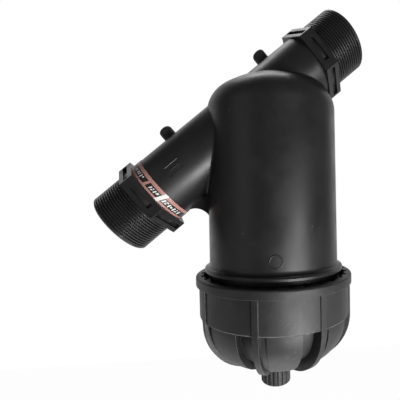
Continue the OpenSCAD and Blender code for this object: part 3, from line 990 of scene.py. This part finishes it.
@dataclass
class Housing:
    """The moulded housing with its ports, fillets and moulded marks.

    Attributes:
        paint: Materials of the part.
        ports: The two threaded ends.
        beads: The fillets where the pipe meets the body.
        ring_height: Height of the moulded ring, from the crossing.
        ring_bearing: Its angle round the body.
        ring_size: Its two radii and its height.
        line_start: Place of the moulded lines along the pipe.
        line_angle: Their angle round the pipe.
        line_size: Their width and height.
        collar_edge: Heights between which the collar's upper edge lies.
        collar_drop: How far that edge goes down by itself.
        collar_foot: Height below which nothing moves.
        collar_sink: How far the whole collar goes down.
    """

    paint: Paint
    ports: tuple[Port, ...] = (
        Port((0.0, 0.0, 0.0), (-0.771625, 0.0, -0.636078)),
        Port((0.1597314, 0.0, 0.1316720), (0.771625, 0.0, 0.636078)),
    )
    beads: tuple[Bead, ...] = (
        Bead("inlet_fillet", -1, 140 * MM),
        Bead("outlet_fillet", 1, 45.2 * MM, start=-30 * MM, radius=3.2 * MM),
    )
    ring_height: float = -143.4 * MM
    ring_bearing: float = math.radians(-3.0)
    ring_size: tuple[float, float, float] = (5.8 * MM, 4.6 * MM, 0.35 * MM)
    line_start: float = -114 * MM
    line_angle: float = math.radians(87)
    line_size: tuple[float, float] = (1.1 * MM, 0.4 * MM)
    collar_edge: tuple[float, float] = (-152 * MM, -143 * MM)
    collar_drop: float = 3.8 * MM
    collar_foot: float = -157 * MM
    collar_sink: float = 1.6 * MM

    TIP = (12.5 * MM, 0.0)
    LINES = (
        ("flow_line_upper", (0.3 * MM, -4.5 * MM), (13.4 * MM, -4.5 * MM)),
        ("flow_line_lower", (-0.3 * MM, 4.5 * MM), (13.8 * MM, 4.5 * MM)),
        ("flow_arrow_shaft", (3 * MM, 0.0), TIP),
        ("flow_arrow_upper", (8.5 * MM, -2.6 * MM), TIP),
        ("flow_arrow_lower", (8.5 * MM, 2.6 * MM), TIP),
    )

    def build(self) -> None:
        """Build and dress the housing's pieces."""
        skin = self.threaded(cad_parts["housing"])
        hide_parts("housing")
        pieces = [skin] + [bead.build() for bead in self.beads] + self.marks()
        for piece in pieces:
            wear(piece, self.paint.of[Slot.HOUSING])
            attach(piece, "housing")

    def threaded(self, solid: bpy.types.Object) -> bpy.types.Object:
        """Copy the housing and give its ports real threads.

        Args:
            solid: The housing's solid.

        Returns:
            The copy, with the solid's own normals where nothing changed.
        """
        mesh = solid.data
        points = [self.lowered(v.co) for v in mesh.vertices]
        corners = [Vector(n.vector) for n in mesh.corner_normals]
        faces: list[Face] = []
        normals: list[Vector] = []
        for poly in mesh.polygons:
            at = [points[i] for i in poly.vertices]
            if any(port.covers(at) for port in self.ports):
                continue
            faces.append(tuple(poly.vertices))
            normals.extend(corners[i] for i in poly.loop_indices)
        for port in self.ports:
            more, cells, tilts = port.skin()
            first = len(points)
            points.extend(more)
            faces.extend(tuple(first + i for i in cell) for cell in cells)
            normals.extend(tilts)
        return new_piece("housing_moulding", points, faces, normals)

    def lowered(self, point: Vector) -> Vector:
        """Move the collar down to where the photograph shows it.

        Args:
            point: A point of the housing.

        Returns:
            The point, lowered if it belongs to the collar.
        """
        at = point - LAYOUT.centre
        outside = math.hypot(at.x, at.y) > LAYOUT.body_r
        if outside and self.collar_edge[0] < at.z < self.collar_edge[1]:
            return point - Vector((0.0, 0.0, self.collar_drop + self.collar_sink))
        if outside and self.collar_foot < at.z <= self.collar_edge[0]:
            return point - Vector((0.0, 0.0, self.collar_sink))
        return point.copy()

    def marks(self) -> list[bpy.types.Object]:
        """Build the moulded ring on the body and the lines and arrow on the inlet pipe."""
        ring = raised_ring("moulded_ring", on_body(self.ring_height, self.ring_bearing), *self.ring_size)
        surface = on_pipe(self.line_start, self.line_angle)
        return [ring] + [raised_bar(name, surface, a, b, *self.line_size) for name, a, b in self.LINES]


@dataclass
class Label:
    """Printed band round the inlet pipe, next to the hex.

    Attributes:
        paint: Materials of the part.
        start: Where the hex ends along the pipe, from the crossing.
        clear: Gap between the hex and the band.
        inner_r: Inside radius.
        outer_r: Outside radius.
        width: Width of the band.
        turns: Steps round it.
    """

    paint: Paint
    start: float = -136.7033 * MM
    clear: float = 0.05 * MM
    inner_r: float = 30.15 * MM
    outer_r: float = 30.45 * MM
    width: float = 10 * MM
    turns: int = 144

    def build(self) -> None:
        """Build the band with a flat map of its outside in millimetres."""
        foot = self.start + self.clear
        head = foot + self.width
        ring = [(foot, self.outer_r), (head, self.outer_r), (head, self.inner_r), (foot, self.inner_r)]
        points = [LAYOUT.pipe_point(a, math.tau * i / self.turns - math.pi, r)
                  for i in range(self.turns) for a, r in ring]
        band = new_piece("label_band", points, lace(self.turns, len(ring), closed=True), smooth=False)
        layer = band.data.uv_layers.new(name="band")
        for poly in band.data.polygons:
            closing = max(poly.vertices) - min(poly.vertices) > 2 * len(ring)
            for loop, vertex in zip(poly.loop_indices, poly.vertices):
                cell, corner = divmod(vertex, len(ring))
                if closing and cell == 0:
                    cell = self.turns
                angle = math.tau * cell / self.turns - math.pi
                across = self.width / MM if corner in (1, 2) else 0.0
                layer.data[loop].uv = (angle * self.outer_r / MM, across)
        wear(band, self.paint.of[Slot.LABEL])
        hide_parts("inlet_label")
        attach(band, "housing")


@dataclass
class LooseParts:
    """The pieces that keep their solids and only get a finish."""

    paint: Paint
    slots: tuple[tuple[str, Slot], ...] = (
        ("inlet_test_cap", Slot.RUBBER),
        ("outlet_test_cap", Slot.RUBBER),
        ("element_spine", Slot.SPINE),
        ("element_seal", Slot.RUBBER),
        ("disc_stack", Slot.DISCS),
        ("element_cap", Slot.CAP),
        ("bowl_gasket", Slot.RUBBER),
        ("bowl", Slot.BOWL),
        ("drain_washer", Slot.RUBBER),
        ("drain_plug", Slot.BOWL),
    )

    def dress(self) -> None:
        """Give each piece its material."""
        for name, slot in self.slots:
            wear(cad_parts[name], self.paint.of[slot])
            LOG.info("%s: %s", name, slot.value)


@dataclass(frozen=True)
class Lamp:
    """One soft box.

    Attributes:
        name: Name of the lamp.
        place: Where it stands.
        target: What it faces.
        size: Width and height.
        power: Power in watts.
    """

    name: str
    place: tuple[float, float, float]
    target: tuple[float, float, float]
    size: tuple[float, float]
    power: float


@dataclass
class Studio:
    """Camera, soft boxes, floor and backdrop.

    Attributes:
        eye: Where the camera stands.
        ahead: Where it looks.
        lens: Focal length in millimetres.
        sensor: Sensor's width in millimetres.
        shift: Shift in sensor widths.
        roll: Turn about the line of sight.
        sides_x: Ends of the floor and backdrop.
        floor_z: Floor's height.
        top_z: Backdrop's upper edge.
        front_y: Floor's front edge.
        back_y: Where floor and backdrop meet.
        floor_glow: Share of plain white that a direct look at the floor adds.
        wall_glow: The same for the backdrop.
        paper: Colour of both.
        surround: Strength of the even surroundings.
        lamps: Soft boxes.
    """

    eye: tuple[float, float, float] = (0.09061, -0.30419, -0.00382)
    ahead: tuple[float, float, float] = (0.10508, 0.99369, -0.03931)
    lens: float = 28.88
    sensor: float = 36.0
    shift: tuple[float, float] = (-0.2019, 0.0421)
    roll: float = math.radians(1.0)
    sides_x: tuple[float, float] = (-3.0, 3.2)
    floor_z: float = -0.9
    top_z: float = 2.6
    front_y: float = -0.45
    back_y: float = 1.6
    floor_glow: float = 0.98
    wall_glow: float = 1.0
    paper: tuple[float, float, float] = (0.86, 0.86, 0.86)
    surround: float = 0.14
    lamps: tuple[Lamp, ...] = (
        Lamp("right_box", (0.76, -0.77, -0.44), (0.115, 0.0, -0.44), (0.34, 0.88), 7.0),
        Lamp("low_box", (0.42, -0.64, -0.38), (0.06, 0.0, 0.03), (0.24, 0.24), 5.6),
        Lamp("under_box", (0.17, -0.06, -0.88), (0.17, -0.06, 0.0), (0.36, 0.36), 1.4),
        Lamp("left_box", (-0.95, -0.75, 0.15), (0.115, 0.0, 0.0), (0.6, 1.0), 0.9),
        Lamp("top_box", (0.05, 0.45, 1.00), (0.115, 0.0, 0.0), (0.8, 0.3), 3.5),
    )

    def build(self) -> None:
        """Set up the whole studio."""
        self.camera()
        for lamp in self.lamps:
            self.lamp(lamp)
        self.world()
        self.stage()
        bpy.context.scene.view_settings.view_transform = "Standard"

    def camera(self) -> None:
        """Add the camera at the photograph's place."""
        data = bpy.data.cameras.new("camera")
        data.lens = self.lens
        data.sensor_width = self.sensor
        data.shift_x, data.shift_y = self.shift
        data.clip_start = 0.01
        made = added("camera", data)
        look = Vector(self.ahead).to_track_quat("-Z", "Y").to_matrix()
        turned = look @ Matrix.Rotation(-self.roll, 3, "Z")
        made.matrix_world = Matrix.Translation(self.eye) @ turned.to_4x4()
        bpy.context.scene.camera = made

    def lamp(self, lamp: Lamp) -> None:
        """Add one soft box.

        Args:
            lamp: Its numbers.
        """
        data = bpy.data.lights.new(lamp.name, "AREA")
        data.shape = "RECTANGLE"
        data.size, data.size_y = lamp.size
        data.energy = lamp.power
        made = added(lamp.name, data)
        made.location = lamp.place
        made.rotation_euler = (Vector(lamp.target) - Vector(lamp.place)).to_track_quat("-Z", "Y").to_euler()

    def world(self) -> None:
        """Light the surroundings evenly and dimly."""
        world = bpy.data.worlds.new("studio")
        g = fresh(world)
        glow = g.node("ShaderNodeBackground", {"Color": (1.0, 1.0, 1.0, 1.0), "Strength": self.surround})
        g.node("ShaderNodeOutputWorld", {"Surface": glow.outputs[0]})
        bpy.context.scene.world = world

    @staticmethod
    def seen(g: Graph) -> bpy.types.NodeSocket:
        """Give 1 for a ray that looks straight at a surface, in a mirror or through glass.

        Args:
            g: Graph of the material.

        Returns:
            The mask.
        """
        path = g.node("ShaderNodeLightPath")
        direct = g.math("MAXIMUM", path.outputs["Is Camera Ray"], path.outputs["Is Transmission Ray"])
        return g.math("MAXIMUM", direct, path.outputs["Is Glossy Ray"])

    def sheet(self, name: str, corners: list[tuple[float, float, float]], glow: float) -> bpy.types.Object:
        """Add one plain white sheet.

        Args:
            name: Name of the sheet.
            corners: Its corners.
            glow: Share of plain white that a direct look adds.

        Returns:
            The sheet.
        """
        made = new_piece(name, [Vector(c) for c in corners], [(0, 1, 2, 3)], smooth=False)
        paper = bpy.data.materials.new(name)
        g = fresh(paper)
        matt = g.node("ShaderNodeBsdfDiffuse", {"Color": g.colour(self.paper)})
        white = g.node("ShaderNodeEmission", {"Color": (1.0, 1.0, 1.0, 1.0), "Strength": 1.0})
        share = g.math("MULTIPLY", self.seen(g), glow)
        mixed = g.node("ShaderNodeMixShader", {0: share, 1: matt.outputs[0], 2: white.outputs[0]})
        g.node("ShaderNodeOutputMaterial", {"Surface": mixed.outputs[0]})
        made.data.materials.append(paper)
        return made

    def stage(self) -> None:
        """Add the floor and the backdrop."""
        left, right = self.sides_x
        near = [(left, self.front_y, self.floor_z), (right, self.front_y, self.floor_z)]
        foot = [(left, self.back_y, self.floor_z), (right, self.back_y, self.floor_z)]
        top = [(right, self.back_y, self.top_z), (left, self.back_y, self.top_z)]
        floor = self.sheet("floor", near + foot[::-1], self.floor_glow)
        wall = self.sheet("backdrop", foot + top, self.wall_glow)


def main() -> None:
    """Build the look of the part."""
    logging.basicConfig(level=logging.INFO, format="%(message)s")
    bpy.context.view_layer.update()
    paint = Paint(Effects())
    Housing(paint).build()
    Label(paint).build()
    LooseParts(paint).dress()
    Studio().build()


if __name__ == "__main__":
    main()
